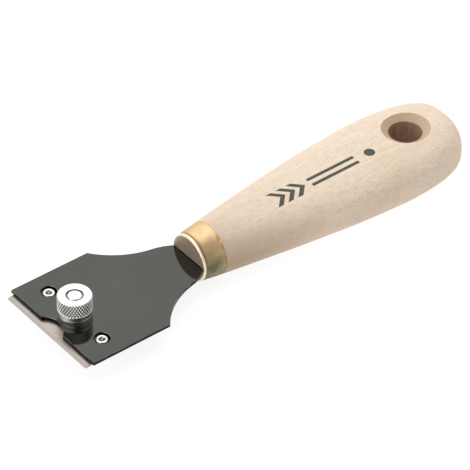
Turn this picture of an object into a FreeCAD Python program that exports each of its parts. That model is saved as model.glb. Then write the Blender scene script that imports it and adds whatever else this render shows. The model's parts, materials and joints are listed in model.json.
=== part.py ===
"""Painter's scraper with a replaceable blade: nine separate pieces in one frame.

The tool lies along X with its blade edge at -X and its handle at +X. +Z is the thumb nut's side.
The origin is the middle of the whole tool's length and width, level with the handle's underside.
Millimetres and degrees throughout.
"""
import FreeCAD, Part
import math
import os

import Sketcher

os.makedirs("parts", exist_ok=True)

DIMENSIONS = [
    # the whole tool
    ("overall_length", 201.6, "blade edge to handle end"),
    ("tang_below_axis", 0.4, "middle of the plate's gauge below the handle's axis"),
    # steel plate
    ("plate_width", 53.0, "width of the square front part"),
    ("plate_depth", 36.2, "front edge to the start of the neck"),
    ("plate_gauge", 1.5, "sheet thickness"),
    ("plate_edge_break", 0.15, "small chamfer round the top and bottom faces"),
    ("waist_back", 57.5, "front edge to the waist of the neck"),
    ("waist_half", 12.9, "half width at the waist"),
    ("waist_radius", 34.7, "concave curve from the corner to the waist"),
    ("shoulder_back", 65.6, "front edge to the shoulders at the ferrule"),
    ("shoulder_half", 9.7, "half width at the shoulders"),
    ("shoulder_radius", 24.0, "convex curve from the waist to the shoulder"),
    ("notch_half", 6.8, "half chord of the thumb notch"),
    ("notch_radius", 8.4, "radius of the thumb notch"),
    ("tang_half", 6.0, "half width of the tang at the shoulders"),
    ("tang_end_half", 3.5, "half width of the tang at its end"),
    ("tang_length", 62.0, "tang beyond the shoulders"),
    # blade
    ("blade_overhang", 2.8, "blade edge ahead of the plate"),
    ("blade_width", 50.0, "length of the cutting edge"),
    ("blade_depth", 19.0, "cutting edge to back edge"),
    ("blade_gauge", 0.8, "blade thickness"),
    ("bevel_depth", 1.0, "ground bevel, back from the edge"),
    ("bevel_drop", 0.6, "ground bevel, down from the top face"),
    # clamp
    ("clamp_width", 45.0, "width of the clamp plate"),
    ("clamp_depth", 20.0, "front to back of the clamp plate"),
    ("clamp_gauge", 1.5, "thickness of the clamp plate"),
    ("clamp_setback", 1.2, "clamp plate behind the plate's front edge"),
    ("clamp_corner", 2.0, "corner radius of the clamp plate"),
    ("clamp_bevel", 0.8, "chamfer under the clamp plate's front edge"),
    # pins and stud
    ("screw_back", 10.9, "pins and stud behind the plate's front edge"),
    ("pin_spacing", 33.9, "distance between the two pins"),
    ("pin_radius", 2.6, "shank of the locating pins"),
    ("pin_rise", 1.15, "pin end above the main plate's underside"),
    ("pin_crown", 0.7, "rounding of the pin's open end"),
    ("pin_bore", 1.0, "radius of the hollow in the pin's end"),
    ("pin_bore_depth", 2.2, "depth of that hollow"),
    ("pin_hole", 3.2, "radius of the plate's pin holes"),
    ("pin_slot", 2.7, "half width of the blade's pin slots"),
    ("head_radius", 4.0, "rivet heads under the clamp plate"),
    ("head_drop", 0.9, "thickness of the rivet heads"),
    ("stud_radius", 2.95, "stud, over its thread"),
    ("stud_hole", 3.3, "radius of the plate's stud hole"),
    ("stud_slot", 3.5, "half width of the blade's stud slot"),
    ("stud_sunk", 0.15, "stud end below the nut's top face"),
    ("stud_point", 0.3, "chamfer at the stud's end"),
    # thumb nut
    ("nut_radius", 6.9, "over the knurl"),
    ("nut_height", 9.9, "thumb nut, face to face"),
    ("nut_top_chamfer", 0.4, "chamfer round the top"),
    ("nut_foot_chamfer", 0.3, "chamfer round the foot"),
    ("nut_bore", 3.0, "radius of the nut's bore"),
    ("nut_recess", 3.5, "radius of the recess in the nut's top"),
    ("nut_recess_depth", 0.8, "depth of that recess"),
    # ferrule
    ("ferrule_length", 10.3, "front face to back edge"),
    ("ferrule_front", 10.2, "outer radius at the front"),
    ("ferrule_back", 11.45, "outer radius at the back"),
    ("ferrule_rim", 1.1, "rounding of the front rim"),
    ("ferrule_wall", 0.6, "sheet thickness"),
    ("slot_gap", 0.1, "play round the tang in the ferrule and the handle"),
    # handle
    ("handle_length", 122.9, "ferrule's back edge to the handle's end"),
    ("handle_width", 42.2, "widest"),
    ("handle_depth", 23.0, "thickest"),
    ("handle_neck", 11.4, "radius where the handle meets the ferrule"),
    ("handle_squareness", 3.2, "exponent of the widest cross-section; 2 is an ellipse"),
    ("end_rounding", 5.5, "length over which the depth rounds off at the end"),
    ("end_blend", 15.0, "length over which the cross-section turns rounder at the end"),
    ("end_squareness", 2.3, "exponent of the cross-section at the very end"),
    ("end_flat", 0.08, "length trimmed off the rounded end"),
    ("hang_hole", 7.0, "radius of the hanging hole"),
    ("hang_hole_inset", 22.1, "hanging hole's axis ahead of the handle's end"),
    ("sink_depth", 2.25, "depth of the hanging hole's countersinks"),
    ("sink_widening", 3.3, "how much wider than the hole they open"),
]

# Plan of the handle: (share of its length, share of its greatest half width).
HANDLE_PLAN = [(0.155, 0.688), (0.32, 0.818), (0.48, 0.92), (0.645, 0.998), (0.782, 0.998),
               (0.888, 0.905), (0.961, 0.735)]
# Side view of the handle: (share of its length, share of its greatest half depth).
HANDLE_SIDE = [(0.0, 0.992), (0.3, 0.958), (0.55, 0.96), (0.83, 1.0), (1.0, 0.99)]
END_FULLNESS = 2.8
HALF_ROUND = "half round"
SECTION_COUNT = 18
SECTION_POINTS = 36

document = FreeCAD.newDocument("scraper")
sheet = document.addObject("Spreadsheet::Sheet", "Dims")
for row, (alias, size, meaning) in enumerate(DIMENSIONS, start=1):
    sheet.set(f"A{row}", meaning)
    sheet.set(f"B{row}", str(size))
    sheet.setAlias(f"B{row}", alias)
document.recompute()

# Places that several pieces share, as expressions over the sheet.
BLADE_EDGE = "(-Dims.overall_length / 2)"
PLATE_FRONT = f"({BLADE_EDGE} + Dims.blade_overhang)"
SCREW_X = f"({PLATE_FRONT} + Dims.screw_back)"
FERRULE_FACE = f"({PLATE_FRONT} + Dims.shoulder_back)"
HANDLE_START = "(Dims.overall_length / 2 - Dims.handle_length)"
AXIS_HEIGHT = "(Dims.handle_depth / 2)"
PLATE_UNDERSIDE = f"({AXIS_HEIGHT} - Dims.tang_below_axis - Dims.plate_gauge / 2)"
PLATE_TOP = f"({PLATE_UNDERSIDE} + Dims.plate_gauge)"
BLADE_UNDERSIDE = f"({PLATE_UNDERSIDE} - Dims.blade_gauge)"
CLAMP_UNDERSIDE = f"({BLADE_UNDERSIDE} - Dims.clamp_gauge)"


def number(expression):
    """The value of an expression over the sheet."""
    found = sheet.evalExpression(str(expression))
    return float(getattr(found, "Value", found))


def place(item, x="0", y="0", z="0"):
    """Bind an object's position to the sheet."""
    for letter, expression in (("x", x), ("y", y), ("z", z)):
        item.setExpression(f"Placement.Base.{letter}", str(expression))


def new_body(label):
    """An empty body whose name and label are the piece's name."""
    body = document.addObject("PartDesign::Body", label)
    body.Label = label
    return body


def new_sketch(body, name, plane="XY_Plane"):
    """A sketch on one of the body's own origin planes."""
    sketch = body.newObject("Sketcher::SketchObject", f"{body.Name}_{name}")
    origin_plane = [item for item in body.Origin.OriginFeatures if item.Role == plane][0]
    sketch.AttachmentSupport = [(origin_plane, "")]
    sketch.MapMode = "FlatFace"
    return sketch


def bind(sketch, kind, *arguments):
    """Add a constraint whose last argument is an expression over the sheet."""
    expression = arguments[-1]
    index = sketch.addConstraint(Sketcher.Constraint(kind, *arguments[:-1], number(expression)))
    sketch.setExpression(f"Constraints[{index}]", expression)


def pin_point(sketch, geometry, end, x, y):
    """Hold one point of a sketch at a place given by two expressions."""
    bind(sketch, "DistanceX", -1, 1, geometry, end, x)
    bind(sketch, "DistanceY", -1, 1, geometry, end, y)


def add_circle(sketch, x, y, radius):
    """A circle held at a place, with its radius bound."""
    centre = FreeCAD.Vector(number(x), number(y), 0)
    circle = Part.Circle(centre, FreeCAD.Vector(0, 0, 1), number(radius))
    index = sketch.addGeometry(circle, False)
    pin_point(sketch, index, 3, x, y)
    bind(sketch, "Radius", index, radius)


def add_arc(sketch, start, finish, radius, turn):
    """An arc from start to finish; turn is 1 for anticlockwise and -1 for clockwise."""
    chord = finish - start
    to_left = FreeCAD.Vector(-chord.y, chord.x, 0).normalize()
    rise = math.sqrt(max(radius ** 2 - (chord.Length / 2) ** 2, 0.0))
    centre = (start + finish) * 0.5 + to_left * rise * turn
    first, last = (start, finish) if turn > 0 else (finish, start)
    angles = [math.atan2(point.y - centre.y, point.x - centre.x) for point in (first, last)]
    circle = Part.Circle(centre, FreeCAD.Vector(0, 0, 1), radius)
    return sketch.addGeometry(Part.ArcOfCircle(circle, *angles), False)


def add_outline(sketch, corners):
    """A closed outline through corners (x, y) or (x, y, radius, turn), all expressions.

    A corner with a radius starts an arc to the next corner, and the others start a straight edge.
    HALF_ROUND as the radius is a half circle between two corners with the same x.
    """
    points = [FreeCAD.Vector(number(corner[0]), number(corner[1]), 0) for corner in corners]
    ends = []
    for index, corner in enumerate(corners):
        start = points[index]
        finish = points[(index + 1) % len(points)]
        if len(corner) == 4:
            half_chord = (finish - start).Length / 2
            radius = half_chord if corner[2] == HALF_ROUND else number(corner[2])
            edge = add_arc(sketch, start, finish, radius, corner[3])
            ends.append((edge, 1, 2) if corner[3] > 0 else (edge, 2, 1))
        else:
            edge = sketch.addGeometry(Part.LineSegment(start, finish), False)
            ends.append((edge, 1, 2))
    for index, corner in enumerate(corners):
        edge, start_end, finish_end = ends[index]
        following = ends[(index + 1) % len(ends)]
        sketch.addConstraint(
            Sketcher.Constraint("Coincident", edge, finish_end, following[0], following[1]))
        pin_point(sketch, edge, start_end, corner[0], corner[1])
        if len(corner) == 4 and corner[2] == HALF_ROUND:
            bind(sketch, "DistanceX", -1, 1, edge, 3, corner[0])
        elif len(corner) == 4:
            bind(sketch, "Radius", edge, corner[2])


def pad(body, sketch, length):
    """Extrude a sketch upwards."""
    feature = body.newObject("PartDesign::Pad", f"{body.Name}_pad")
    feature.Profile = sketch
    feature.setExpression("Length", length)
    return feature


def pocket_through(body, sketch):
    """Cut a sketch through the whole body, both ways from its plane."""
    feature = body.newObject("PartDesign::Pocket", f"{sketch.Name}_pocket")
    feature.Profile = sketch
    feature.Type = "ThroughAll"
    feature.Midplane = True
    return feature


def revolve(body, sketch, axis):
    """Turn a sketch round its own H_Axis or V_Axis."""
    feature = body.newObject("PartDesign::Revolution", f"{body.Name}_turn")
    feature.Profile = sketch
    feature.ReferenceAxis = (sketch, [axis])
    feature.Angle = 360
    return feature


def face_at(shape, height):
    """Name of the level face that lies at a height."""
    for index, face in enumerate(shape.Faces, start=1):
        box = face.BoundBox
        if abs(box.ZMin - height) < 1e-6 and abs(box.ZMax - height) < 1e-6:
            return f"Face{index}"
    raise ValueError(f"no level face at {height}")


def chamfer(body, base, names, size, second=None):
    """Chamfer edges or whole faces; a second size makes the chamfer uneven."""
    feature = body.newObject("PartDesign::Chamfer", f"{base.Name}_chamfer")
    feature.Base = (base, names)
    if second:
        feature.ChamferType = "Two distances"
        feature.setExpression("Size2", second)
    feature.setExpression("Size", size)
    document.recompute()
    return feature


def mirrored(corners):
    """The other half of an outline: the same corners back again with y the other way."""
    return [(x, f"-({y})") for x, y in reversed(corners)]


def make_main_plate():
    """Waisted steel plate with thumb notch, pin and stud holes, and a tapering tang."""
    body = new_body("main_plate")
    outline = new_sketch(body, "outline")
    back = "Dims.plate_depth"
    half = "Dims.plate_width / 2"
    tang_end = "Dims.shoulder_back + Dims.tang_length"
    add_outline(outline, [
        ("0", f"-{half}"),
        (back, f"-{half}", "Dims.waist_radius", -1),
        ("Dims.waist_back", "-Dims.waist_half", "Dims.shoulder_radius", 1),
        ("Dims.shoulder_back", "-Dims.shoulder_half"),
        ("Dims.shoulder_back", "-Dims.tang_half"),
        (tang_end, "-Dims.tang_end_half", HALF_ROUND, 1),
        (tang_end, "Dims.tang_end_half"),
        ("Dims.shoulder_back", "Dims.tang_half"),
        ("Dims.shoulder_back", "Dims.shoulder_half", "Dims.shoulder_radius", 1),
        ("Dims.waist_back", "Dims.waist_half", "Dims.waist_radius", -1),
        (back, half),
        ("0", half),
        ("0", "Dims.notch_half", "Dims.notch_radius", -1),
        ("0", "-Dims.notch_half"),
    ])
    base = pad(body, outline, "Dims.plate_gauge")
    holes = new_sketch(body, "holes")
    add_circle(holes, "Dims.screw_back", "0", "Dims.stud_hole")
    add_circle(holes, "Dims.screw_back", "Dims.pin_spacing / 2", "Dims.pin_hole")
    add_circle(holes, "Dims.screw_back", "-Dims.pin_spacing / 2", "Dims.pin_hole")
    document.recompute()
    cut = pocket_through(body, holes)
    document.recompute()
    faces = [face_at(cut.Shape, number("Dims.plate_gauge")), face_at(cut.Shape, 0.0)]
    chamfer(body, cut, faces, "Dims.plate_edge_break")
    place(body, x=PLATE_FRONT, z=PLATE_UNDERSIDE)
    return body


def slot_corners(y, half):
    """A slot open at the blade's back edge, its round end at the screw line, going +X to -X."""
    centre = "Dims.blade_overhang + Dims.screw_back"
    return [
        ("Dims.blade_depth", f"{y} - {half}"),
        (centre, f"{y} - {half}", HALF_ROUND, -1),
        (centre, f"{y} + {half}"),
        ("Dims.blade_depth", f"{y} + {half}"),
    ]


def make_blade():
    """Thin blade with a ground front bevel and three slots open at the back edge."""
    body = new_body("blade")
    outline = new_sketch(body, "outline")
    half = "Dims.blade_width / 2"
    corners = [("0", half), ("0", f"-{half}"), ("Dims.blade_depth", f"-{half}")]
    corners += slot_corners("-Dims.pin_spacing / 2", "Dims.pin_slot")
    corners += slot_corners("0", "Dims.stud_slot")
    corners += slot_corners("Dims.pin_spacing / 2", "Dims.pin_slot")
    corners += [("Dims.blade_depth", half)]
    add_outline(outline, corners)
    base = pad(body, outline, "Dims.blade_gauge")
    document.recompute()
    top = number("Dims.blade_gauge")
    front_edge = [
        f"Edge{index}" for index, edge in enumerate(base.Shape.Edges, start=1)
        if edge.BoundBox.XMax < 1e-6 and edge.BoundBox.ZMin > top - 1e-6
    ]
    bevel = chamfer(body, base, front_edge, "Dims.bevel_drop", "Dims.bevel_depth")
    flat_top = bevel.Shape.getElement(face_at(bevel.Shape, top))
    if abs(flat_top.BoundBox.XMin - number("Dims.bevel_depth")) > 1e-6:
        raise RuntimeError("the blade's bevel took its two sizes the wrong way round")
    place(body, x=BLADE_EDGE, z=BLADE_UNDERSIDE)
    return body


def make_clamp_plate():
    """Lower plate, holed for its pins and stud, bevelled under its front edge."""
    body = new_body("clamp_plate")
    outline = new_sketch(body, "outline")
    half = "Dims.clamp_width / 2"
    deep = "Dims.clamp_depth"
    corner = "Dims.clamp_corner"
    add_outline(outline, [
        ("0", f"-{half} + {corner}", corner, 1),
        (corner, f"-{half}"),
        (f"{deep} - {corner}", f"-{half}", corner, 1),
        (deep, f"-{half} + {corner}"),
        (deep, f"{half} - {corner}", corner, 1),
        (f"{deep} - {corner}", half),
        (corner, half, corner, 1),
        ("0", f"{half} - {corner}"),
    ])
    base = pad(body, outline, "Dims.clamp_gauge")
    holes = new_sketch(body, "holes")
    across = "Dims.screw_back - Dims.clamp_setback"
    add_circle(holes, across, "0", "Dims.stud_radius")
    add_circle(holes, across, "Dims.pin_spacing / 2", "Dims.pin_radius")
    add_circle(holes, across, "-Dims.pin_spacing / 2", "Dims.pin_radius")
    document.recompute()
    cut = pocket_through(body, holes)
    document.recompute()
    front_edge = [
        f"Edge{index}" for index, edge in enumerate(cut.Shape.Edges, start=1)
        if edge.BoundBox.XMax < 1e-6 and edge.BoundBox.ZMax < 1e-6
    ]
    chamfer(body, cut, front_edge, "Dims.clamp_bevel")
    place(body, x=f"{PLATE_FRONT} + Dims.clamp_setback", z=CLAMP_UNDERSIDE)
    return body


def make_locating_pin(label, side):
    """Semi-tubular rivet: head below, shank up through the blade, rounded open end."""
    body = new_body(label)
    half_section = new_sketch(body, "half_section", "XZ_Plane")
    crown = "Dims.pin_crown"
    top = "Dims.clamp_gauge + Dims.blade_gauge + Dims.pin_rise"
    rim = "Dims.pin_radius - Dims.pin_bore"
    add_outline(half_section, [
        ("0", "-Dims.head_drop"),
        ("Dims.head_radius - Dims.head_drop", "-Dims.head_drop", "Dims.head_drop", 1),
        ("Dims.head_radius", "0"),
        ("Dims.pin_radius", "0"),
        ("Dims.pin_radius", f"{top} - {crown}", crown, 1),
        (f"Dims.pin_radius - {crown}", top),
        (f"Dims.pin_bore + ({rim} - {crown}) / 2", top, f"({rim} - {crown}) / 2", 1),
        ("Dims.pin_bore", f"{top} - ({rim} - {crown}) / 2"),
        ("Dims.pin_bore", f"{top} - Dims.pin_bore_depth"),
        ("0", f"{top} - Dims.pin_bore_depth - Dims.pin_bore / 2"),
    ])
    revolve(body, half_section, "V_Axis")
    place(body, x=SCREW_X, y=f"{side} * Dims.pin_spacing / 2", z=CLAMP_UNDERSIDE)
    return body


def make_clamp_stud():
    """Stud riveted in the clamp plate, reaching almost to the nut's top face."""
    body = new_body("clamp_stud")
    half_section = new_sketch(body, "half_section", "XZ_Plane")
    top = "Dims.clamp_gauge + Dims.blade_gauge + Dims.plate_gauge + Dims.nut_height - Dims.stud_sunk"
    add_outline(half_section, [
        ("0", "-Dims.head_drop"),
        ("Dims.head_radius - Dims.head_drop", "-Dims.head_drop", "Dims.head_drop", 1),
        ("Dims.head_radius", "0"),
        ("Dims.stud_radius", "0"),
        ("Dims.stud_radius", f"{top} - Dims.stud_point"),
        ("Dims.stud_radius - Dims.stud_point", top),
        ("0", top),
    ])
    revolve(body, half_section, "V_Axis")
    place(body, x=SCREW_X, z=CLAMP_UNDERSIDE)
    return body


def make_thumb_nut():
    """Round thumb nut with chamfered top and foot, a through bore and a recess in its top."""
    body = new_body("thumb_nut")
    half_section = new_sketch(body, "half_section", "XZ_Plane")
    radius = "Dims.nut_radius"
    top = "Dims.nut_height"
    add_outline(half_section, [
        ("Dims.nut_bore", "0"),
        (f"{radius} - Dims.nut_foot_chamfer", "0"),
        (radius, "Dims.nut_foot_chamfer"),
        (radius, f"{top} - Dims.nut_top_chamfer"),
        (f"{radius} - Dims.nut_top_chamfer", top),
        ("Dims.nut_recess", top),
        ("Dims.nut_recess", f"{top} - Dims.nut_recess_depth"),
        ("Dims.nut_bore", f"{top} - Dims.nut_recess_depth"),
    ])
    revolve(body, half_section, "V_Axis")
    place(body, x=SCREW_X, z=PLATE_TOP)
    return body


def make_ferrule():
    """Tapering drawn cup with a rounded rim; its front face is slotted for the tang."""
    body = new_body("ferrule")
    half_section = new_sketch(body, "half_section", "XZ_Plane")
    wall = "Dims.ferrule_wall"
    rim = "Dims.ferrule_rim"
    add_outline(half_section, [
        ("0", "0"),
        ("0", f"Dims.ferrule_front - {rim}", rim, -1),
        (rim, "Dims.ferrule_front"),
        ("Dims.ferrule_length", "Dims.ferrule_back"),
        ("Dims.ferrule_length", f"Dims.ferrule_back - {wall}"),
        (rim, f"Dims.ferrule_front - {wall}", f"{rim} - {wall}", 1),
        (wall, f"Dims.ferrule_front - {rim}"),
        (wall, "0"),
    ])
    revolve(body, half_section, "H_Axis")
    slot = new_sketch(body, "slot", "YZ_Plane")
    half = "Dims.tang_half + Dims.slot_gap"
    low = "-Dims.tang_below_axis - Dims.plate_gauge / 2 - Dims.slot_gap"
    high = "-Dims.tang_below_axis + Dims.plate_gauge / 2 + Dims.slot_gap"
    add_outline(slot, [(f"-({half})", low), (half, low), (half, high), (f"-({half})", high)])
    document.recompute()
    pocket_through(body, slot)
    place(body, x=FERRULE_FACE, z=AXIS_HEIGHT)
    return body


def handle_section(along, half_width, half_depth, exponent):
    """One closed cross-section of the handle, across the X axis."""
    points = []
    for step in range(SECTION_POINTS):
        angle = 2 * math.pi * step / SECTION_POINTS
        across = math.copysign(abs(math.cos(angle)) ** (2 / exponent), math.cos(angle))
        up = math.copysign(abs(math.sin(angle)) ** (2 / exponent), math.sin(angle))
        points.append(FreeCAD.Vector(along, half_width * across, half_depth * up))
    curve = Part.BSplineCurve()
    curve.interpolate(Points=points, PeriodicFlag=True)
    return Part.Wire([curve.toShape()])


def spline_through(pairs, final_tangent=None):
    """A flat curve through (along, out) pairs."""
    curve = Part.BSplineCurve()
    points = [FreeCAD.Vector(along, out, 0) for along, out in pairs]
    if final_tangent:
        first = (points[1] - points[0]).normalize()
        curve.interpolate(Points=points, InitialTangent=first, FinalTangent=final_tangent)
    else:
        curve.interpolate(Points=points)
    return curve


def height_at(curve, along):
    """How far out a flat curve is at a distance along it."""
    start = curve.FirstParameter
    finish = curve.LastParameter
    for _ in range(60):
        middle = (start + finish) / 2
        if curve.value(middle).x < along:
            start = middle
        else:
            finish = middle
    return curve.value((start + finish) / 2).y


def make_handle_blank():
    """The handle behind the ferrule: round at the front, a flat oval at its widest."""
    length = number("Dims.handle_length")
    half_width = number("Dims.handle_width / 2")
    half_depth = number("Dims.handle_depth / 2")
    squareness = number("Dims.handle_squareness")
    rounding = number("Dims.end_rounding")
    plan_points = [(0, number("Dims.handle_neck"))]
    plan_points += [(share * length, width * half_width) for share, width in HANDLE_PLAN]
    plan_points += [(length, 0)]
    plan = spline_through(plan_points, FreeCAD.Vector(0, -1, 0))
    side = spline_through([(share * length, depth * half_depth) for share, depth in HANDLE_SIDE])
    wires = []
    for step in range(SECTION_COUNT):
        share = 1 - (1 - step / (SECTION_COUNT - 1)) ** 2
        along = share * (length - number("Dims.end_flat"))
        into_end = max(0.0, 1 - (length - along) / rounding)
        depth = height_at(side, along) * math.sqrt(1 - into_end ** END_FULLNESS)
        exponent = 2 + (squareness - 2) * min(1.0, 2 * along / length)
        near_end = max(0.0, 1 - (length - along) / number("Dims.end_blend"))
        exponent += (number("Dims.end_squareness") - exponent) * near_end
        wires.append(handle_section(along, height_at(plan, along), depth, exponent))
    blank = document.addObject("Part::Feature", "handle_blank")
    blank.Shape = Part.makeLoft(wires, True, False)
    place(blank, x=HANDLE_START, z=AXIS_HEIGHT)
    return blank


def make_spigot():
    """The tapered front of the handle, inside the ferrule."""
    spigot = document.addObject("Part::Cone", "handle_spigot")
    slope = "(Dims.ferrule_back - Dims.ferrule_front) / (Dims.ferrule_length - Dims.ferrule_rim)"
    inside = "Dims.ferrule_front - Dims.ferrule_wall"
    spigot.setExpression("Radius1", inside)
    spigot.setExpression("Radius2", f"{inside} + {slope} * (Dims.ferrule_length - Dims.ferrule_rim)")
    spigot.setExpression("Height", "Dims.ferrule_length - Dims.ferrule_rim")
    spigot.Placement.Rotation = FreeCAD.Rotation(FreeCAD.Vector(0, 1, 0), 90)
    place(spigot, x=f"{FERRULE_FACE} + Dims.ferrule_rim", z=AXIS_HEIGHT)
    return spigot


def make_mortise():
    """The space for the tang inside the handle, with a little play all round."""
    body = new_body("tang_mortise")
    outline = new_sketch(body, "outline")
    root = "Dims.tang_half + Dims.slot_gap"
    tip = "Dims.tang_end_half + Dims.slot_gap"
    add_outline(outline, [
        ("0", f"-({root})"),
        ("Dims.tang_length", f"-({tip})", HALF_ROUND, 1),
        ("Dims.tang_length", tip),
        ("0", root),
    ])
    pad(body, outline, "Dims.plate_gauge + 2 * Dims.slot_gap")
    place(body, x=FERRULE_FACE, z=f"{PLATE_UNDERSIDE} - Dims.slot_gap")
    return body


def make_handle():
    """Handle with its spigot, tang mortise and countersunk hanging hole."""
    wood = document.addObject("Part::Fuse", "handle_wood")
    wood.Base = make_handle_blank()
    wood.Tool = make_spigot()
    slotted = document.addObject("Part::Cut", "handle_slotted")
    slotted.Base = wood
    slotted.Tool = make_mortise()
    handle = document.addObject("Part::Cut", "handle")
    handle.Base = slotted
    handle.Tool = make_hanging_drill()
    handle.Label = "handle"
    return handle


def make_hanging_drill():
    """The hanging hole: a straight bore, countersunk from both sides."""
    hole_x = "Dims.overall_length / 2 - Dims.hang_hole_inset"
    bore = document.addObject("Part::Cylinder", "hang_hole_bore")
    bore.setExpression("Radius", "Dims.hang_hole")
    bore.setExpression("Height", "Dims.handle_depth + 2")
    place(bore, x=hole_x, z=f"{AXIS_HEIGHT} - Dims.handle_depth / 2 - 1")
    tools = [bore]
    for name, turn, side in (("sink_above", 0, "+"), ("sink_below", 180, "-")):
        sink = document.addObject("Part::Cone", name)
        sink.setExpression("Radius1", "Dims.hang_hole")
        sink.setExpression("Radius2", "Dims.hang_hole + 2 * Dims.sink_widening")
        sink.setExpression("Height", "2 * Dims.sink_depth")
        sink.Placement.Rotation = FreeCAD.Rotation(FreeCAD.Vector(1, 0, 0), turn)
        place(sink, x=hole_x, z=f"{AXIS_HEIGHT} {side} (Dims.handle_depth / 2 - Dims.sink_depth)")
        tools.append(sink)
    drill = document.addObject("Part::MultiFuse", "hang_hole_drill")
    drill.Shapes = tools
    return drill




pieces = [
    make_main_plate(),
    make_blade(),
    make_clamp_plate(),
    make_locating_pin("locating_pin_left", 1),
    make_locating_pin("locating_pin_right", -1),
    make_clamp_stud(),
    make_thumb_nut(),
    make_ferrule(),
    make_handle(),
]
document.recompute()

for item in document.Objects:
    if {"Invalid", "Error"} & set(item.State):
        raise RuntimeError(f"{item.Label} failed: {item.State}")
for piece in pieces:
    if piece.Shape.isNull() or not piece.Shape.isValid():
        raise RuntimeError(f"{piece.Label} has no valid shape")
    piece.Shape.exportStep(f"parts/{piece.Label}.step")
    box = piece.Shape.BoundBox
    print(f"{piece.Label}: {piece.Shape.Volume:.1f} mm3, {len(piece.Shape.Solids)} solid, "
          f"x {box.XMin:.2f}..{box.XMax:.2f}, y {box.YMin:.2f}..{box.YMax:.2f}, "
          f"z {box.ZMin:.2f}..{box.ZMax:.2f}")
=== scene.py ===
import json
import math

import bmesh
import bpy
import numpy as np
from mathutils import Matrix, Vector
from mathutils.bvhtree import BVHTree


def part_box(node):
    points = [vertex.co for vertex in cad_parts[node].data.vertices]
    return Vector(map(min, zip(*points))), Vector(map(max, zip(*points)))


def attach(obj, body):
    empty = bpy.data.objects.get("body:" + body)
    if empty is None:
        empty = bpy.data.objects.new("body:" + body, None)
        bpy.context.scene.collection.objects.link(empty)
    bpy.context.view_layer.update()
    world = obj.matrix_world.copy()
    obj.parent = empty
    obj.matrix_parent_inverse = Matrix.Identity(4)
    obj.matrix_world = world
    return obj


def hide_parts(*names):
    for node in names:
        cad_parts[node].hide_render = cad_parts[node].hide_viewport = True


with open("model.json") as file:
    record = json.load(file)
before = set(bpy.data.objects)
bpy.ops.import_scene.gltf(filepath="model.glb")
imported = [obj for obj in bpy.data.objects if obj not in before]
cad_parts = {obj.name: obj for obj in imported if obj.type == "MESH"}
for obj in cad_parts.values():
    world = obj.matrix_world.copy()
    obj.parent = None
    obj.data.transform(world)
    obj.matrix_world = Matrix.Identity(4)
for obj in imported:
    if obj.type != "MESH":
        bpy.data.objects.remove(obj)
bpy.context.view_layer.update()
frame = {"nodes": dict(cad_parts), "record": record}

MM = 0.001

# Camera: the direction it looks from, its roll, how far off it stands and its lens.
VIEW_AZIMUTH = math.radians(-39.308)
VIEW_ELEVATION = math.radians(39.867)
VIEW_ROLL = math.radians(1.034)
VIEW_DISTANCE = 1.262
LENS = 246.3
SENSOR = 36.0
AIM_BEHIND_MIDDLE = -8.0 * MM
AIM_LEFT = 0.92 * MM
AIM_BELOW = 0.79 * MM

# Directions of the two bright areas in the surroundings: high behind the tool, and low on its blade side.
GLOW = Vector((0.30, 0.55, 0.78))
SIDE_GLOW = Vector((-0.93, -0.15, 0.32))


# ---------------------------------------------------------------- places taken from the frame

def middle_of(node):
    """Middle of a CAD node's box."""
    low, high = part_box(node)
    return (low + high) / 2


AXIS_Z = middle_of("ferrule").z
PLATE_LOW, PLATE_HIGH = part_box("main_plate")
SCREW = middle_of("thumb_nut")


# ---------------------------------------------------------------- mesh helpers

def mesh_piece(name, points, faces, body, replaced=(), sharp_degrees=32):
    """A smooth-shaded mesh that rides on a body and may stand for CAD nodes."""
    mesh = bpy.data.meshes.new(name)
    mesh.from_pydata([tuple(point) for point in points], [], faces)
    mesh.validate()
    piece = bpy.data.objects.new(name, mesh)
    bpy.context.scene.collection.objects.link(piece)
    finish_shading(mesh, sharp_degrees)
    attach(piece, body)
    if replaced:
        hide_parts(*replaced)
    return piece


def finish_shading(mesh, sharp_degrees):
    """Outward faces, smooth shading, and sharp edges where the surface really turns."""
    work = bmesh.new()
    work.from_mesh(mesh)
    bmesh.ops.recalc_face_normals(work, faces=work.faces)
    work.to_mesh(mesh)
    work.free()
    mesh.polygons.foreach_set("use_smooth", [True] * len(mesh.polygons))
    mesh.set_sharp_from_angle(angle=math.radians(sharp_degrees))
    mesh.update()


def ring_faces(rings, steps, closed=False):
    """Quads between neighbouring rings of points; closed joins the last ring to the first."""
    faces = []
    count = rings if closed else rings - 1
    for ring in range(count):
        following = (ring + 1) % rings
        for step in range(steps):
            near = ring * steps + step
            nearest = ring * steps + (step + 1) % steps
            far = following * steps + step
            farthest = following * steps + (step + 1) % steps
            faces.append((near, nearest, farthest, far))
    return faces


def fan(rim_start, steps, pole):
    """Triangles from a ring to one point."""
    return [(rim_start + step, rim_start + (step + 1) % steps, pole) for step in range(steps)]


def lathe_points(profile, steps, place):
    """Rings of points: place(radius, along, angle) puts each profile point round its axis."""
    points = []
    for radius, along in profile:
        for step in range(steps):
            points.append(place(radius, along, 2 * math.pi * step / steps))
    return points


def round_vertical(centre_x, centre_y):
    """A place function for pieces turned round a vertical axis."""
    def place(radius, along, angle):
        return (centre_x + radius * math.cos(angle), centre_y + radius * math.sin(angle), along)
    return place


def round_tool_axis(radius, along, angle):
    """Place function for pieces turned round the tool's own axis."""
    return (along, radius * math.cos(angle), AXIS_Z + radius * math.sin(angle))


def cut_with(piece, cutter):
    """Take one mesh out of another, and leave no modifier behind."""
    modifier = piece.modifiers.new("cut", "BOOLEAN")
    modifier.operation = "DIFFERENCE"
    modifier.solver = "EXACT"
    modifier.object = cutter
    depsgraph = bpy.context.evaluated_depsgraph_get()
    result = bpy.data.meshes.new_from_object(piece.evaluated_get(depsgraph))
    piece.modifiers.clear()
    old = piece.data
    piece.data = result
    bpy.data.meshes.remove(old)
    bpy.data.objects.remove(cutter)


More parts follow.
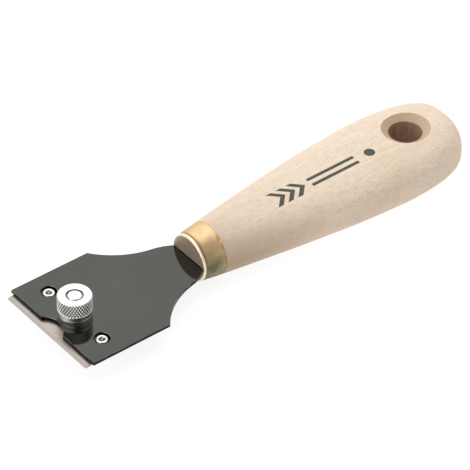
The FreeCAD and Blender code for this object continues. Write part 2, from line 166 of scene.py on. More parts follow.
def plain_object(name, points, faces):
    """A helper mesh, such as a cutter, that isn't part of the model."""
    mesh = bpy.data.meshes.new(name)
    mesh.from_pydata([tuple(point) for point in points], [], faces)
    item = bpy.data.objects.new(name, mesh)
    bpy.context.scene.collection.objects.link(item)
    work = bmesh.new()
    work.from_mesh(mesh)
    bmesh.ops.recalc_face_normals(work, faces=work.faces)
    work.to_mesh(mesh)
    work.free()
    return item


# ---------------------------------------------------------------- handle

HANDLE_RINGS = 150
HANDLE_STEPS = 128
SQUARENESS = 3.2
END_SQUARENESS = 2.3
END_BLEND = 15 * MM
SINK_SLOPE = 3.3 / 2.25
MARK_START = 6 * MM
MARK_SIDE = -3 * MM
CHEVRON_PITCH = 5 * MM
CHEVRON_WIDTH = 2.6 * MM
CHEVRON_REACH = 4.2 * MM
BAR_START = 20 * MM
BAR_FINISH = 44 * MM
DOT_PLACE = 51 * MM
DOT_RADIUS = 2.3 * MM
MORTISE_PLAY = 0.1 * MM
TANG_ROOT = 6.1 * MM
TANG_TIP = 3.6 * MM
SINK_BEYOND = 4.5 * MM
WIDTH_PROBE = 0.06
DEPTH_PROBE_SHARE = 0.6
HOLE = frame["record"]["mounts"][0]


class HandleShape:
    """The handle's outside, measured on its CAD node: half width and half depth along X."""

    def __init__(self):
        mesh = frame["nodes"]["handle"].data
        polygons = [tuple(polygon.vertices) for polygon in mesh.polygons]
        self.tree = BVHTree.FromPolygons([vertex.co for vertex in mesh.vertices], polygons)
        self.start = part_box("ferrule")[1].x
        self.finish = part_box("handle")[1].x
        self.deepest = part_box("handle")[1].z - AXIS_Z

    def exponent(self, x):
        share = (x - self.start) / (self.finish - self.start)
        power = 2 + (SQUARENESS - 2) * min(1.0, 2 * max(share, 0.0))
        near_end = max(0.0, 1 - (self.finish - x) / END_BLEND)
        return power + (END_SQUARENESS - power) * near_end

    def half_width(self, x):
        hit = self.tree.ray_cast(Vector((x, WIDTH_PROBE, AXIS_Z)), Vector((0, -1, 0)))[0]
        return hit.y

    def half_depth(self, x, half_width):
        power = self.exponent(x)
        above = Vector((x, DEPTH_PROBE_SHARE * half_width, WIDTH_PROBE))
        hit = self.tree.ray_cast(above, Vector((0, 0, -1)))[0]
        fitted = (hit.z - AXIS_Z) / (1 - DEPTH_PROBE_SHARE ** power) ** (1 / power)
        return min(fitted, self.deepest)

    def stations(self):
        """Ring positions, closer together towards the rounded end."""
        shares = [1 - (1 - ring / HANDLE_RINGS) ** 2 for ring in range(HANDLE_RINGS)]
        length = self.finish - self.start - 0.05 * MM
        return [self.start + 0.01 * MM + share * length for share in shares]


def superellipse_ring(x, half_width, half_depth, power):
    """Points round one cross-section of the handle."""
    points = []
    for step in range(HANDLE_STEPS):
        angle = 2 * math.pi * step / HANDLE_STEPS
        across = math.copysign(abs(math.cos(angle)) ** (2 / power), math.cos(angle))
        up = math.copysign(abs(math.sin(angle)) ** (2 / power), math.sin(angle))
        points.append((x, half_width * across, AXIS_Z + half_depth * up))
    return points


def make_handle():
    """Handle with its spigot inside the ferrule, countersunk hanging hole and tang mortise."""
    shape = HandleShape()
    ferrule_low, ferrule_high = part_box("ferrule")
    spigot_back = ferrule_high.z - AXIS_Z - FERRULE_WALL
    spigot_front = FERRULE_FRONT - FERRULE_WALL
    spigot_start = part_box("handle")[0].x
    points = []
    points += superellipse_ring(spigot_start, spigot_front, spigot_front, 2)
    points += superellipse_ring(shape.start, spigot_back, spigot_back, 2)
    rings = 2
    for x in shape.stations():
        width = shape.half_width(x)
        points += superellipse_ring(x, width, shape.half_depth(x, width), shape.exponent(x))
        rings += 1
    faces = ring_faces(rings, HANDLE_STEPS)
    points.append((spigot_start, 0, AXIS_Z))
    faces += fan(0, HANDLE_STEPS, len(points) - 1)
    points.append((shape.finish, 0, AXIS_Z))
    faces += fan((rings - 1) * HANDLE_STEPS, HANDLE_STEPS, len(points) - 1)
    handle = mesh_piece("handle_wood", points, faces, "frame", ("handle",))
    cut_with(handle, hole_cutter())
    cut_with(handle, mortise_cutter())
    finish_shading(handle.data, 30)
    return handle


def hole_cutter():
    """Cutter for the hanging hole: a straight bore, countersunk from both sides."""
    x, y, z = HOLE["pos_m"]
    radius = HOLE["dims"]["r_mm"] * MM
    straight = HOLE["dims"]["length_mm"] * MM / 2
    beyond = SINK_BEYOND
    wide = radius + SINK_SLOPE * beyond
    steps = 96
    profile = [(wide, -straight - beyond), (radius, -straight), (radius, straight), (wide, straight + beyond)]
    points = lathe_points([(r, z + along) for r, along in profile], steps, round_vertical(x, y))
    faces = ring_faces(len(profile), steps)
    for rim, side in ((0, -1), (len(profile) - 1, 1)):
        points.append((x, y, z + side * (straight + beyond)))
        faces += fan(rim * steps, steps, len(points) - 1)
    return plain_object("hole_cutter", points, faces)


def mortise_cutter():
    """Cutter for the tang's space inside the handle."""
    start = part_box("ferrule")[0].x
    finish = PLATE_HIGH.x + MORTISE_PLAY
    low, high = PLATE_LOW.z - MORTISE_PLAY, PLATE_HIGH.z + MORTISE_PLAY
    outline = [(start, -TANG_ROOT), (finish, -TANG_TIP), (finish, TANG_TIP), (start, TANG_ROOT)]
    points = [(x, y, low) for x, y in outline] + [(x, y, high) for x, y in outline]
    faces = [(0, 1, 2, 3), (4, 5, 6, 7)]
    faces += [(side, (side + 1) % 4, (side + 1) % 4 + 4, side + 4) for side in range(4)]
    return plain_object("mortise_cutter", points, faces)


# ---------------------------------------------------------------- ferrule

FERRULE_FRONT = 10.2 * MM
FERRULE_RIM = 1.1 * MM
FERRULE_WALL = 0.6 * MM
FERRULE_GROOVE = 0.3 * MM
GROOVE_BEHIND_RIM = 0.75 * MM
GROOVE_WIDTH = 0.45 * MM
BACK_GROOVE_BEFORE_EDGE = 0.9 * MM
BACK_GROOVE_WIDTH = 0.3 * MM
RIM_CUTS = 8
BARREL_CUTS = 48
JOIN_GAP = 0.4 * MM
JOIN_HALF = 9.2 * MM
STAKE_ANGLE = math.radians(131)
STAKE_BACK = 0.9 * MM
STAKE_DEPTH = 0.4 * MM
STAKE_LONG = 1.1 * MM
STAKE_SHORT = 0.5 * MM


def make_ferrule():
    """Drawn brass cup: round rim with a groove behind it, slotted face, a stake near the back."""
    low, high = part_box("ferrule")
    back = high.z - AXIS_Z
    x0, x1 = low.x, high.x
    steps = 144
    rim = FERRULE_RIM
    profile = []
    profile.append((1.0 * MM, x0))
    for cut in range(RIM_CUTS + 1):
        turn = math.pi / 2 * cut / RIM_CUTS
        profile.append((FERRULE_FRONT - rim + rim * math.sin(turn), x0 + rim - rim * math.cos(turn)))
    barrel = x1 - x0 - rim
    for cut in range(1, BARREL_CUTS + 1):
        share = cut / BARREL_CUTS
        along = barrel * share
        before_edge = barrel - along - BACK_GROOVE_BEFORE_EDGE
        groove_cut = FERRULE_GROOVE * math.exp(-((along - GROOVE_BEHIND_RIM) / GROOVE_WIDTH) ** 2)
        groove_cut += 0.5 * FERRULE_GROOVE * math.exp(-(before_edge / BACK_GROOVE_WIDTH) ** 2)
        profile.append((FERRULE_FRONT + (back - FERRULE_FRONT) * share - groove_cut, x0 + rim + along))
    edge = 0.2 * MM
    profile[-1] = (back - 0.02 * MM, x1 - edge)
    profile.append((back - 0.08 * MM, x1 - 0.06 * MM))
    profile.append((back - edge, x1))
    profile.append((back - FERRULE_WALL, x1))
    profile.append((FERRULE_FRONT - FERRULE_WALL, x0 + rim))
    inner = rim - FERRULE_WALL
    for cut in range(5):
        turn = math.pi / 2 * (1 - cut / 4)
        profile.append((FERRULE_FRONT - rim + inner * math.sin(turn), x0 + rim - inner * math.cos(turn)))
    profile.append((1.0 * MM, x0 + FERRULE_WALL))
    points = lathe_points(profile, steps, round_tool_axis)
    first_outer = RIM_CUTS + 1
    for ring in range(first_outer, first_outer + BARREL_CUTS + 1):
        for step in range(steps):
            index = ring * steps + step
            points[index] = stake(points[index], x1)
    faces = ring_faces(len(profile), steps)
    points.append((x0, 0, AXIS_Z))
    faces += fan(0, steps, len(points) - 1)
    points.append((x0 + FERRULE_WALL, 0, AXIS_Z))
    faces += fan((len(profile) - 1) * steps, steps, len(points) - 1)
    ferrule = mesh_piece("ferrule_cup", points, faces, "frame", ("ferrule",))
    cut_with(ferrule, slot_cutter(x0))
    finish_shading(ferrule.data, 35)
    return ferrule


def stake(point, back):
    """Push a point of the ferrule's outside in, where the punch struck it."""
    x, y, z = point
    radius = math.hypot(y, z - AXIS_Z)
    around = (math.atan2(z - AXIS_Z, y) - STAKE_ANGLE) * radius
    along = x - (back - STAKE_BACK)
    near = math.exp(-(around / STAKE_LONG) ** 2 - (along / STAKE_SHORT) ** 2)
    share = (radius - STAKE_DEPTH * near) / radius
    return (x, y * share, AXIS_Z + (z - AXIS_Z) * share)


def slot_cutter(face_x):
    """Cutter for the tang's slot and the open join line in the ferrule's front face."""
    low = Vector((face_x - MM, -JOIN_HALF, PLATE_LOW.z - MORTISE_PLAY))
    high = Vector((face_x + FERRULE_WALL + 0.3 * MM, JOIN_HALF, PLATE_HIGH.z + JOIN_GAP))
    points = [(x, y, z) for x in (low.x, high.x) for y in (low.y, high.y) for z in (low.z, high.z)]
    faces = [(0, 1, 3, 2), (4, 6, 7, 5), (0, 4, 5, 1), (2, 3, 7, 6), (0, 2, 6, 4), (1, 5, 7, 3)]
    return plain_object("slot_cutter", points, faces)


# ---------------------------------------------------------------- thumb nut, stud and pins

KNURLS = 36
KNURL_STEPS = 12
KNURL_DEPTH = 0.42 * MM
KNURL_HELIX = math.tan(math.radians(30))
KNURL_LOW = 3.8 * MM
KNURL_RUNOUT = 0.3 * MM
NUT_CHAMFER = 0.4 * MM
NUT_COLLAR = 1.75 * MM
NUT_RECESS = 3.5 * MM
NUT_RECESS_DEPTH = 0.8 * MM
NUT_BORE = 3.0 * MM


def groove(turns):
    """Depth share of a V groove: 1 in its middle, 0 on the lands, repeating every turn."""
    return max(0.0, 1 - abs(2 * (turns % 1.0) - 1) / 0.8)


def make_thumb_nut():
    """Thumb nut with a cut diamond knurl that runs out through its top chamfer."""
    low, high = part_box("thumb_nut")
    radius = (high.x - low.x) / 2
    height = high.z - low.z
    steps = KNURLS * KNURL_STEPS
    band = radius - 0.1 * MM
    collar = radius - 0.28 * MM
    profile = [(NUT_BORE, 0.15 * MM), (NUT_BORE + 0.15 * MM, 0)]
    profile += [(collar - 0.2 * MM, 0), (collar - 0.06 * MM, 0.06 * MM), (collar, 0.2 * MM)]
    profile += [(collar, NUT_COLLAR - 0.1 * MM), (collar - 0.1 * MM, NUT_COLLAR)]
    profile += [(band - 0.15 * MM, NUT_COLLAR + 0.06 * MM), (band, NUT_COLLAR + 0.25 * MM)]
    profile += [(band, KNURL_LOW - 0.1 * MM)]
    plain = len(profile)
    chamfer_start = height - NUT_CHAMFER
    knurl_rows = 48
    for row in range(knurl_rows + 1):
        profile.append((radius, KNURL_LOW + (chamfer_start - KNURL_LOW) * row / knurl_rows))
    chamfer_rows = 5
    for row in range(1, chamfer_rows + 1):
        share = row / chamfer_rows
        profile.append((radius - NUT_CHAMFER * share, chamfer_start + NUT_CHAMFER * share))
    knurled = len(profile)
    profile += [(radius - NUT_CHAMFER - 0.12 * MM, height)]
    profile += [(NUT_RECESS + 0.15 * MM, height), (NUT_RECESS + 0.04 * MM, height - 0.04 * MM)]
    profile += [(NUT_RECESS, height - 0.15 * MM)]
    profile += [(NUT_RECESS, height - NUT_RECESS_DEPTH), (NUT_BORE, height - NUT_RECESS_DEPTH)]
    points = []
    around = 2 * math.pi * radius
    for index, (ring_radius, z) in enumerate(profile):
        for step in range(steps):
            angle = 2 * math.pi * step / steps
            cut = 0.0
            if plain <= index < knurled:
                pitch = around / KNURLS
                lean = z * KNURL_HELIX / pitch
                turn = step / KNURL_STEPS
                depth = KNURL_DEPTH * max(groove(turn + lean), groove(turn - lean))
                floor = radius - depth
                fade = min(1.0, (z - KNURL_LOW) / KNURL_RUNOUT)
                cut = max(0.0, ring_radius - floor) * max(fade, 0.0)
            shown = ring_radius - cut
            points.append((SCREW.x + shown * math.cos(angle), SCREW.y + shown * math.sin(angle), low.z + z))
    faces = ring_faces(len(profile), steps, closed=True)
    return mesh_piece("thumb_nut_knurled", points, faces, "nut", ("thumb_nut",), 25)


THREAD_PITCH = 1.0 * MM
THREAD_DEPTH = 0.5 * MM
STUD_RADIUS = 2.95 * MM
HEAD_RADIUS = 4.0 * MM
HEAD_DROP = 0.9 * MM
PIN_RADIUS = 2.6 * MM
PIN_BORE = 1.0 * MM
PIN_BORE_DEPTH = 2.2 * MM
PIN_POINT_DEPTH = 2.7 * MM


def head_profile(low_z):
    """Domed rivet head, from its pole outwards and up to the clamp plate's underside."""
    profile = []
    for cut in range(1, 9):
        turn = math.pi / 2 * cut / 8
        rise = HEAD_DROP * (1 - math.cos(turn))
        reach = (HEAD_RADIUS - 0.15 * MM) * math.sin(turn) ** 0.8
        profile.append((reach, low_z + rise))
    profile.append((HEAD_RADIUS - 0.05 * MM, low_z + HEAD_DROP))
    return profile


def make_stud():
    """Clamp stud: rivet head below, plain shank in the clamp plate, thread above."""
    low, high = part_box("clamp_stud")
    clamp_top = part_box("clamp_plate")[1].z
    steps = 48
    radius = STUD_RADIUS
    profile = head_profile(low.z) + [(radius, low.z + HEAD_DROP), (radius, clamp_top)]
    plain = len(profile)
    rows = int((high.z - clamp_top) / THREAD_PITCH * 16)
    for row in range(1, rows + 1):
        profile.append((radius, clamp_top + (high.z - clamp_top) * row / rows))
    points = []
    for index, (ring_radius, z) in enumerate(profile):
        for step in range(steps):
            angle = 2 * math.pi * step / steps
            shown = ring_radius
            if index >= plain:
                turns = z / THREAD_PITCH - step / steps
                depth = THREAD_DEPTH * max(0.0, 1 - abs(2 * (turns % 1.0) - 1) / 0.85)
                fade = min(1.0, (z - clamp_top) / (0.6 * MM))
                fade *= min(1.0, max(0.0, (high.z - 0.5 * MM - z) / (0.5 * MM)))
                shown = min(radius - depth * fade, radius - 0.3 * MM + (high.z - z))
            points.append((SCREW.x + shown * math.cos(angle), SCREW.y + shown * math.sin(angle), z))
    faces = ring_faces(len(profile), steps)
    points.append((SCREW.x, SCREW.y, low.z))
    faces += fan(0, steps, len(points) - 1)
    points.append((SCREW.x, SCREW.y, high.z))
    faces += fan((len(profile) - 1) * steps, steps, len(points) - 1)
    return mesh_piece("clamp_stud_threaded", points, faces, "clamp", ("clamp_stud",), 40)


def make_pin(node):
    """Semi-tubular rivet with a rolled, open upper end."""
    low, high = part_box(node)
    centre = middle_of(node)
    radius, bore = PIN_RADIUS, PIN_BORE
    profile = head_profile(low.z) + [(radius, low.z + HEAD_DROP)]
    middle_radius = (radius + bore) / 2
    half_wall = (radius - bore) / 2
    for cut in range(17):
        turn = math.pi * cut / 16
        rolled = high.z - half_wall + half_wall * math.sin(turn)
        profile.append((middle_radius + half_wall * math.cos(turn), rolled))
    profile.append((bore, high.z - PIN_BORE_DEPTH))
    steps = 72
    points = lathe_points(profile, steps, round_vertical(centre.x, centre.y))
    faces = ring_faces(len(profile), steps)
    points.append((centre.x, centre.y, low.z))
    faces += fan(0, steps, len(points) - 1)
    points.append((centre.x, centre.y, high.z - PIN_POINT_DEPTH))
    faces += fan((len(profile) - 1) * steps, steps, len(points) - 1)
    return mesh_piece(node + "_rivet", points, faces, "clamp", (node,), 40)


# ---------------------------------------------------------------- materials

class Surface:
    """A node material with a principled shader, built up by short calls."""

    def __init__(self, name):
        self.material = bpy.data.materials.new(name)
        self.material.use_nodes = True
        self.tree = self.material.node_tree
        self.shader = self.tree.nodes["Principled BSDF"]
        self.coordinates = self.node("ShaderNodeTexCoord").outputs["Object"]

    def node(self, kind, inputs=None, **settings):
        """Add a node; inputs maps a socket's name or number to a value or to another output."""
        made = self.tree.nodes.new(kind)
        for key, value in settings.items():
            setattr(made, key, value)
        for key, value in (inputs or {}).items():
            if isinstance(value, bpy.types.NodeSocket):
                self.tree.links.new(value, made.inputs[key])
            else:
                made.inputs[key].default_value = value
        return made

    def set(self, **values):
        """Set or link the shader's sockets, named with underscores for spaces."""
        for key, value in values.items():
            socket = self.shader.inputs[key.replace("_", " ")]
            if isinstance(value, bpy.types.NodeSocket):
                self.tree.links.new(value, socket)
            else:
                socket.default_value = value

    def stretched(self, x, y, z):
        """The piece's own coordinates, scaled per metre along each axis."""
        return self.node("ShaderNodeMapping", {0: self.coordinates, "Scale": (x, y, z)}).outputs[0]

    def noise(self, vector, detail=2.0, roughness=0.5, distortion=0.0):
        made = self.node("ShaderNodeTexNoise", {
            "Vector": vector, "Scale": 1.0, "Detail": detail,
            "Roughness": roughness, "Distortion": distortion})
        return made.outputs["Fac"]

    def remap(self, value, low, high, new_low=0.0, new_high=1.0, smooth=False):
        made = self.node("ShaderNodeMapRange", {
            "Value": value, "From Min": low, "From Max": high, "To Min": new_low, "To Max": new_high})
        if smooth:
            made.interpolation_type = "SMOOTHSTEP"
        return made.outputs["Result"]

    def math(self, operation, first, second=0.0):
        return self.node("ShaderNodeMath", {0: first, 1: second}, operation=operation).outputs[0]

    def mix(self, factor, first, second):
        made = self.node("ShaderNodeMix", {"Factor": factor}, data_type="RGBA")
        for index, value in ((6, first), (7, second)):
            if isinstance(value, bpy.types.NodeSocket):
                self.tree.links.new(value, made.inputs[index])
            else:
                made.inputs[index].default_value = (*value, 1.0)
        return made.outputs[2]

    def bump(self, height, strength, distance):
        made = self.node("ShaderNodeBump", {
            "Height": height, "Strength": strength, "Distance": distance})
        self.set(Normal=made.outputs["Normal"])

    def part(self, axis):
        """One of the piece's own coordinates."""
        return self.node("ShaderNodeSeparateXYZ", {0: self.coordinates}).outputs[axis]

    def reach(self, first, second):
        """Length of the hypotenuse of two distances."""
        squares = self.math("ADD", self.math("POWER", first, 2), self.math("POWER", second, 2))
        return self.math("SQRT", squares)


def beech():
    """Sanded beech: soft bands, ray flecks and pores along X, end grain in the hanging hole with painted
    shade deep in its bore, and painted shade towards the ferrule and on the lower side.
    """
    wood = Surface("beech")
    bands = wood.noise(wood.stretched(14, 170, 170), detail=3, distortion=0.6)
    patches = wood.noise(wood.stretched(30, 70, 70), detail=3)
    mottle = wood.noise(wood.stretched(260, 900, 900), detail=3)
    flecks = wood.noise(wood.stretched(520, 3300, 3300), detail=1.5)
    pores = wood.noise(wood.stretched(1100, 7500, 7500), detail=1)
    fleck_mask = wood.remap(flecks, 0.60, 0.72, smooth=True)
    pore_mask = wood.remap(pores, 0.60, 0.75)
    base = wood.mix(wood.remap(bands, 0.3, 0.7), (0.65, 0.53, 0.405), (0.71, 0.59, 0.465))
    tinted = wood.mix(wood.remap(patches, 0.45, 0.75, 0.0, 0.45), base, (0.58, 0.42, 0.30))
    mottled = wood.mix(wood.remap(mottle, 0.40, 0.72, 0.0, 0.30), tinted, (0.45, 0.33, 0.23))
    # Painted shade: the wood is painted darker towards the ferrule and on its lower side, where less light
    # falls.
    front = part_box("ferrule")[1].x
    neck = wood.remap(wood.part("X"), front, front + 55 * MM, 0.75, 0.0, smooth=True)
    underside_shade = wood.remap(wood.part("Z"), AXIS_Z - MM, AXIS_Z + 10 * MM, 1.0, 0.2)
    neck_shaded = wood.mix(wood.math("MULTIPLY", neck, underside_shade), mottled, (0.30, 0.19, 0.11))
    flecked = wood.mix(wood.math("MULTIPLY", fleck_mask, 0.5), neck_shaded, (0.34, 0.22, 0.14))
    pored = wood.mix(wood.math("MULTIPLY", pore_mask, 0.25), flecked, (0.34, 0.24, 0.16))
    inside = inside_hole(wood)
    streaks = wood.noise(wood.stretched(2600, 2600, 160), detail=2)
    # The bore is painted much darker than the countersinks: real end grain plus painted shade deep inside the
    # hole.
    bore_grain_and_shade = wood.mix(wood.remap(streaks, 0.35, 0.65), (0.27, 0.16, 0.10), (0.38, 0.25, 0.17))
    sunk = wood.mix(wood.remap(streaks, 0.30, 0.70), (0.40, 0.28, 0.18), (0.50, 0.37, 0.26))
    half_bore = HOLE["dims"]["length_mm"] * MM / 2
    from_middle = wood.math("ABSOLUTE", wood.math("SUBTRACT", wood.part("Z"), HOLE["pos_m"][2]))
    end_grain_and_bore_shade = wood.mix(wood.remap(from_middle, half_bore - 0.6 * MM, half_bore), bore_grain_and_shade, sunk)
    holed = wood.mix(inside, pored, end_grain_and_bore_shade)
    wood.set(Base_Color=wood.mix(printed_mark(wood), holed, (0.030, 0.036, 0.030)))
    wood.set(Roughness=wood.remap(bands, 0.2, 0.8, 0.48, 0.58), Specular_IOR_Level=0.35)
    relief = wood.math("ADD", wood.math("MULTIPLY", fleck_mask, -0.6), wood.math("MULTIPLY", pores, 0.5))
    wood.bump(relief, 0.35, 0.00008)
    return wood.material


def inside_hole(wood):
    """Mask for the hanging hole's bore and countersinks: 1 inside, 0 on the outer surface."""
    hole_x, hole_y, hole_z = HOLE["pos_m"]
    along = wood.math("SUBTRACT", wood.part("X"), hole_x)
    across = wood.math("SUBTRACT", wood.part("Y"), hole_y)
    radius = wood.reach(along, across)
    height = wood.math("ABSOLUTE", wood.math("SUBTRACT", wood.part("Z"), hole_z))
    beyond = wood.math("SUBTRACT", height, HOLE["dims"]["length_mm"] * MM / 2)
    cone = wood.math("ADD", wood.math("MULTIPLY", wood.math("MAXIMUM", beyond, 0.0), SINK_SLOPE),
                     HOLE["dims"]["r_mm"] * MM)
    return wood.remap(wood.math("SUBTRACT", radius, cone), 0.06 * MM, 0.02 * MM)


def printed_mark(wood):
    """Mask of a plain printed mark on the upper side: three chevrons, two bars and a dot."""
    along = wood.math("SUBTRACT", wood.part("X"), MARK_START)
    across = wood.math("ABSOLUTE", wood.math("SUBTRACT", wood.part("Y"), MARK_SIDE))

    def within(value, low, high):
        """1 between two limits, with a thin soft edge."""
        soft = 0.08 * MM
        rise = wood.remap(value, low - soft, low + soft)
        fall = wood.remap(value, high - soft, high + soft, 1.0, 0.0)
        return wood.math("MULTIPLY", rise, fall)

    slanted = wood.math("ADD", along, across)
    chevrons = None
    for number in (1, 2, 3):
        start = number * CHEVRON_PITCH
        chevron = within(slanted, start, start + CHEVRON_WIDTH)
        chevrons = chevron if chevrons is None else wood.math("MAXIMUM", chevrons, chevron)
    chevrons = wood.math("MULTIPLY", chevrons, within(across, -MM, CHEVRON_REACH))
    bars = wood.math("MULTIPLY", within(across, 1.0 * MM, 2.6 * MM), within(along, BAR_START, BAR_FINISH))
    from_dot = wood.math("SUBTRACT", along, DOT_PLACE)
    reach = wood.reach(from_dot, across)
    mark = wood.math("MAXIMUM", wood.math("MAXIMUM", chevrons, bars), within(reach, -MM, DOT_RADIUS))
    worn = wood.remap(wood.noise(wood.stretched(1500, 4000, 4000), detail=2), 0.30, 0.42, 0.80, 1.0)
    above = wood.remap(wood.part("Z"), AXIS_Z, AXIS_Z + MM)
    return wood.math("MULTIPLY", wood.math("MULTIPLY", mark, worn), above)


def brass():
    """Drawn brass: painted highlight on the rim, painted shade line behind it, painted olive shade low down,
    duller front face.
    """
    metal = Surface("brass")
    clouds = metal.noise(metal.stretched(160, 160, 160), detail=3)
    marks = metal.noise(metal.stretched(9000, 60, 60), detail=1)
    polished = metal.mix(metal.remap(clouds, 0.35, 0.75), (0.62, 0.45, 0.24), (0.48, 0.33, 0.18))
    # Painted shade: the barrel's lower side is painted dark olive, broken into patches by the cloud noise.
    lower_brass_shade = metal.remap(metal.part("Z"), AXIS_Z + 8 * MM, AXIS_Z + MM)
    patchy_low_shade = metal.math("MULTIPLY", lower_brass_shade, metal.remap(clouds, 0.30, 0.60, 0.55, 1.0))
    barrel = metal.mix(patchy_low_shade, polished, (0.13, 0.125, 0.065))
    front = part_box("ferrule")[0].x
    face = metal.remap(metal.part("X"), front + 0.12 * MM, front + 0.04 * MM)
    rim = metal.remap(metal.part("X"), front + 1.0 * MM, front + 0.85 * MM)
    # Painted shade: a brown line in the groove just behind the rim.
    behind = metal.math("MULTIPLY", metal.math("SUBTRACT", 1.0, rim),
                        metal.remap(metal.part("X"), front + 2.1 * MM, front + 1.8 * MM))
    shaded = metal.mix(metal.math("MULTIPLY", behind, 0.85), barrel, (0.20, 0.12, 0.06))
    # Painted highlight: the rim's front millimetre is painted pale cream.
    rim_highlighted = metal.mix(rim, shaded, (0.86, 0.74, 0.56))
    colour = metal.mix(face, rim_highlighted, (0.42, 0.33, 0.25))
    metal.set(Metallic=metal.remap(face, 0.0, 1.0, 0.9, 0.6))
    metal.set(Base_Color=colour)
    metal.set(Roughness=metal.remap(clouds, 0.3, 0.8, 0.40, 0.54))
    metal.bump(marks, 0.12, 0.00002)
    return metal.material


def dark_steel(name, low, high):
    """Dark polished plate: mirror-smooth faces, side faces painted near-black as shade, painted highlight
    along the upper edge.
    """
    metal = Surface(name)
    z = metal.part("Z")
    edge = 0.16 * MM
    skin = 0.02 * MM
    upper = metal.remap(z, high - edge, high - skin)
    lower = metal.remap(z, low + edge, low + skin)
    face = metal.math("MAXIMUM", upper, lower)
    # Painted highlight: a bright line along the middle of the upper edge chamfer, broken up by noise.
    edge_highlight_band = metal.math("SUBTRACT", 1.0, metal.math("ABSOLUTE", metal.math(
        "SUBTRACT", metal.math("MULTIPLY", upper, 2.0), 1.0)))
    clouds = metal.noise(metal.stretched(30, 45, 45), detail=3)
    scratches = metal.noise(metal.stretched(60, 5000, 5000), detail=2)
    glint_breakup = metal.noise(metal.stretched(300, 300, 300), detail=3)
    polished = metal.mix(metal.remap(clouds, 0.35, 0.75), (0.061, 0.063, 0.055), (0.068, 0.074, 0.066))
    # Painted shade: the side faces are painted near-black, far darker than the polished faces of the same
    # steel.
    body = metal.mix(face, (0.012, 0.013, 0.014), polished)
    glint = metal.math("MULTIPLY", edge_highlight_band, metal.remap(glint_breakup, 0.35, 0.65, 0.1, 0.9))
    metal.set(Base_Color=metal.mix(glint, body, (0.55, 0.55, 0.52)), Metallic=1.0)
    rough = metal.remap(scratches, 0.3, 0.8, 0.045, 0.085)
    side_rough = metal.math("MULTIPLY", metal.math("SUBTRACT", 1.0, face), 0.3)
    metal.set(Roughness=metal.math("ADD", rough, side_rough))
    metal.bump(scratches, 0.03, 0.00001)
    return metal.material


def blade_steel():
    """Fine ground blade with a paler ground bevel along its edge."""
    metal = Surface("blade_steel")
    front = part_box("blade")[0].x
    x = metal.part("X")
    bevel = metal.remap(x, front + 1.05 * MM, front + 0.95 * MM)
    lines = metal.noise(metal.stretched(5200, 90, 400), detail=2)
    ground = metal.noise(metal.stretched(220, 5200, 400), detail=2)
    pattern = metal.mix(bevel, metal.node("ShaderNodeCombineXYZ", {0: lines}).outputs[0],
                        metal.node("ShaderNodeCombineXYZ", {0: ground}).outputs[0])
    relief = metal.node("ShaderNodeSeparateXYZ", {0: pattern}).outputs[0]
    clouds = metal.noise(metal.stretched(90, 90, 90), detail=2)
    flat = metal.mix(clouds, (0.37, 0.325, 0.285), (0.32, 0.285, 0.255))
    metal.set(Base_Color=metal.mix(bevel, flat, (0.38, 0.345, 0.31)), Metallic=1.0)
    metal.set(Roughness=metal.remap(relief, 0.3, 0.7, 0.24, 0.38))
    metal.bump(relief, 0.10, 0.00001)
    return metal.material


def bright_metal(name, colour, rough_low, rough_high, scale, knurled=False):
    """Plated steel: bright, with a faint cloudiness and fine marks, and painted shade in the knurl's grooves.
    """
    metal = Surface(name)
    clouds = metal.noise(metal.stretched(scale, scale, scale), detail=3)
    marks = metal.noise(metal.stretched(5000, 5000, 5000), detail=1)
    darker = tuple(part * 0.9 for part in colour)
    plated = metal.mix(metal.remap(clouds, 0.35, 0.7), colour, darker)
    if knurled:
        # Painted shade: the knurl's grooves are painted dark grey.
        plated = metal.mix(knurl_groove_shade(metal), plated, (0.17, 0.175, 0.17))
    metal.set(Base_Color=plated, Metallic=1.0)
    metal.set(Roughness=metal.remap(clouds, 0.3, 0.8, rough_low, rough_high))
    metal.bump(marks, 0.05, 0.00001)
    return metal.material


def knurl_groove_shade(metal):
    """Mask for the painted shade in the cut grooves of the thumb nut's knurl: 0 on the crests and the smooth
    bands.
    """
    low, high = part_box("thumb_nut")
    outside = (high.x - low.x) / 2
    across = metal.math("SUBTRACT", metal.part("X"), SCREW.x)
    beside = metal.math("SUBTRACT", metal.part("Y"), SCREW.y)
    radius = metal.reach(across, beside)
    sunk = metal.remap(radius, outside - 0.08 * MM, outside - 0.36 * MM)
    above = metal.remap(metal.part("Z"), low.z + KNURL_LOW, low.z + KNURL_LOW + KNURL_RUNOUT)
    below = metal.remap(metal.part("Z"), high.z - NUT_CHAMFER, high.z - 1.5 * NUT_CHAMFER)
    return metal.math("MULTIPLY", sunk, metal.math("MULTIPLY", above, below))


def paint(piece, material):
    """Give every slot of a piece one material."""
    piece.data.materials.clear()
    piece.data.materials.append(material)


# ---------------------------------------------------------------- studio

def view_axes():
    """The camera's right, up and backward directions."""
    back = Vector((
        math.sin(VIEW_AZIMUTH) * math.cos(VIEW_ELEVATION),
        -math.cos(VIEW_AZIMUTH) * math.cos(VIEW_ELEVATION),
        math.sin(VIEW_ELEVATION)))
    level = Vector((math.cos(VIEW_AZIMUTH), math.sin(VIEW_AZIMUTH), 0))
    upright = back.cross(level)
    right = level * math.cos(VIEW_ROLL) + upright * math.sin(VIEW_ROLL)
    up = upright * math.cos(VIEW_ROLL) - level * math.sin(VIEW_ROLL)
    return right, up, back


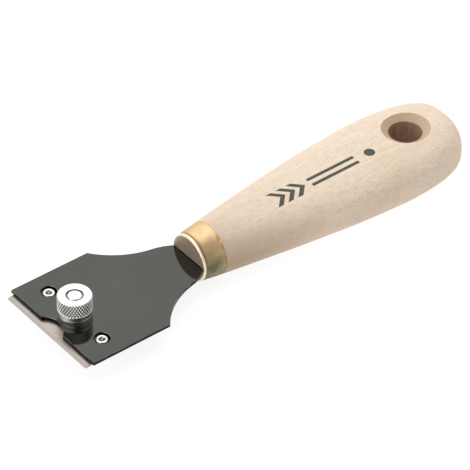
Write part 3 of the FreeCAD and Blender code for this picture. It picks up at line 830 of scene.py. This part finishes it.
def make_camera():
    """Camera at the viewing angle, aimed at a point near the plate's neck."""
    right, up, back = view_axes()
    camera_data = bpy.data.cameras.new("camera")
    camera_data.lens = LENS
    camera_data.sensor_width = SENSOR
    camera_data.clip_end = 20
    camera = bpy.data.objects.new("camera", camera_data)
    turn = Matrix((right, up, back)).transposed().to_4x4()
    aim = Vector((AIM_BEHIND_MIDDLE, 0, PLATE_HIGH.z)) - right * AIM_LEFT - up * AIM_BELOW
    camera.matrix_world = Matrix.Translation(aim + back * VIEW_DISTANCE) @ turn
    bpy.context.scene.collection.objects.link(camera)
    bpy.context.scene.camera = camera


def make_floor():
    """Plain pale floor that the handle lies on."""
    size = 3.0
    floor = plain_object("floor", [(-size, -size, 0), (size, -size, 0), (size, size, 0), (-size, size, 0)],
                         [(0, 1, 2, 3)])
    material = bpy.data.materials.new("floor")
    material.use_nodes = True
    shader = material.node_tree.nodes["Principled BSDF"]
    shader.inputs["Base Color"].default_value = (0.22, 0.22, 0.22, 1)
    shader.inputs["Roughness"].default_value = 0.9
    shader.inputs["Emission Color"].default_value = (1, 1, 1, 1)
    shader.inputs["Emission Strength"].default_value = 0.86
    floor.data.materials.append(material)


def make_world():
    """Soft white surroundings: a broad overhead glow behind the tool, dark near the camera."""
    world = bpy.data.worlds.new("studio")
    bpy.context.scene.world = world
    world.use_nodes = True
    tree = world.node_tree
    background = tree.nodes["Background"]
    background.inputs["Color"].default_value = (1, 1, 1, 1)
    direction = tree.nodes.new("ShaderNodeTexCoord").outputs["Generated"]

    def lobe(centre, start, finish, outside, inside):
        """Strength that goes from outside to inside as a direction nears the centre."""
        facing = tree.nodes.new("ShaderNodeVectorMath")
        facing.operation = "DOT_PRODUCT"
        facing.inputs[1].default_value = centre
        tree.links.new(direction, facing.inputs[0])
        shade = tree.nodes.new("ShaderNodeMapRange")
        shade.interpolation_type = "SMOOTHSTEP"
        tree.links.new(facing.outputs["Value"], shade.inputs["Value"])
        limits = {"From Min": start, "From Max": finish, "To Min": outside, "To Max": inside}
        for name, value in limits.items():
            shade.inputs[name].default_value = value
        return shade.outputs["Result"]

    total = tree.nodes.new("ShaderNodeMath")
    total.operation = "ADD"
    whole = tree.nodes.new("ShaderNodeMath")
    whole.operation = "ADD"
    tree.links.new(lobe(view_axes()[2], 0.58, 0.95, 0.85, 0.12), total.inputs[0])
    tree.links.new(lobe(GLOW.normalized(), 0.60, 0.88, 0.0, 0.95), total.inputs[1])
    tree.links.new(total.outputs["Value"], whole.inputs[0])
    tree.links.new(lobe(SIDE_GLOW.normalized(), 0.74, 0.93, 0.0, 1.6), whole.inputs[1])
    tree.links.new(whole.outputs["Value"], background.inputs["Strength"])


def make_light(name, place, size, power):
    """A soft square lamp that points at the middle of the tool."""
    lamp = bpy.data.lights.new(name, "AREA")
    lamp.shape = "SQUARE"
    lamp.size = size
    lamp.energy = power
    item = bpy.data.objects.new(name, lamp)
    item.rotation_euler = (-Vector(place)).to_track_quat("-Z", "Y").to_euler()
    item.location = place
    bpy.context.scene.collection.objects.link(item)


make_camera()
make_floor()
make_world()
make_light("overhead", (0.25, 0.15, 1.3), 0.9, 3.2)
bpy.context.scene.view_settings.view_transform = "Standard"

handle = make_handle()
ferrule = make_ferrule()
thumb_nut = make_thumb_nut()
stud = make_stud()
pins = [make_pin(node) for node in ("locating_pin_left", "locating_pin_right")]

paint(handle, beech())
paint(ferrule, brass())
nickel = bright_metal("nickel", (0.77, 0.765, 0.745), 0.24, 0.36, 200, knurled=True)
bright_steel = bright_metal("bright_steel", (0.58, 0.58, 0.565), 0.16, 0.28, 300)
paint(thumb_nut, nickel)
for piece in [stud, *pins]:
    paint(piece, bright_steel)
for node in ("main_plate", "clamp_plate"):
    low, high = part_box(node)
    paint(frame["nodes"][node], dark_steel("dark_steel_" + node, low.z, high.z))
paint(frame["nodes"]["blade"], blade_steel())
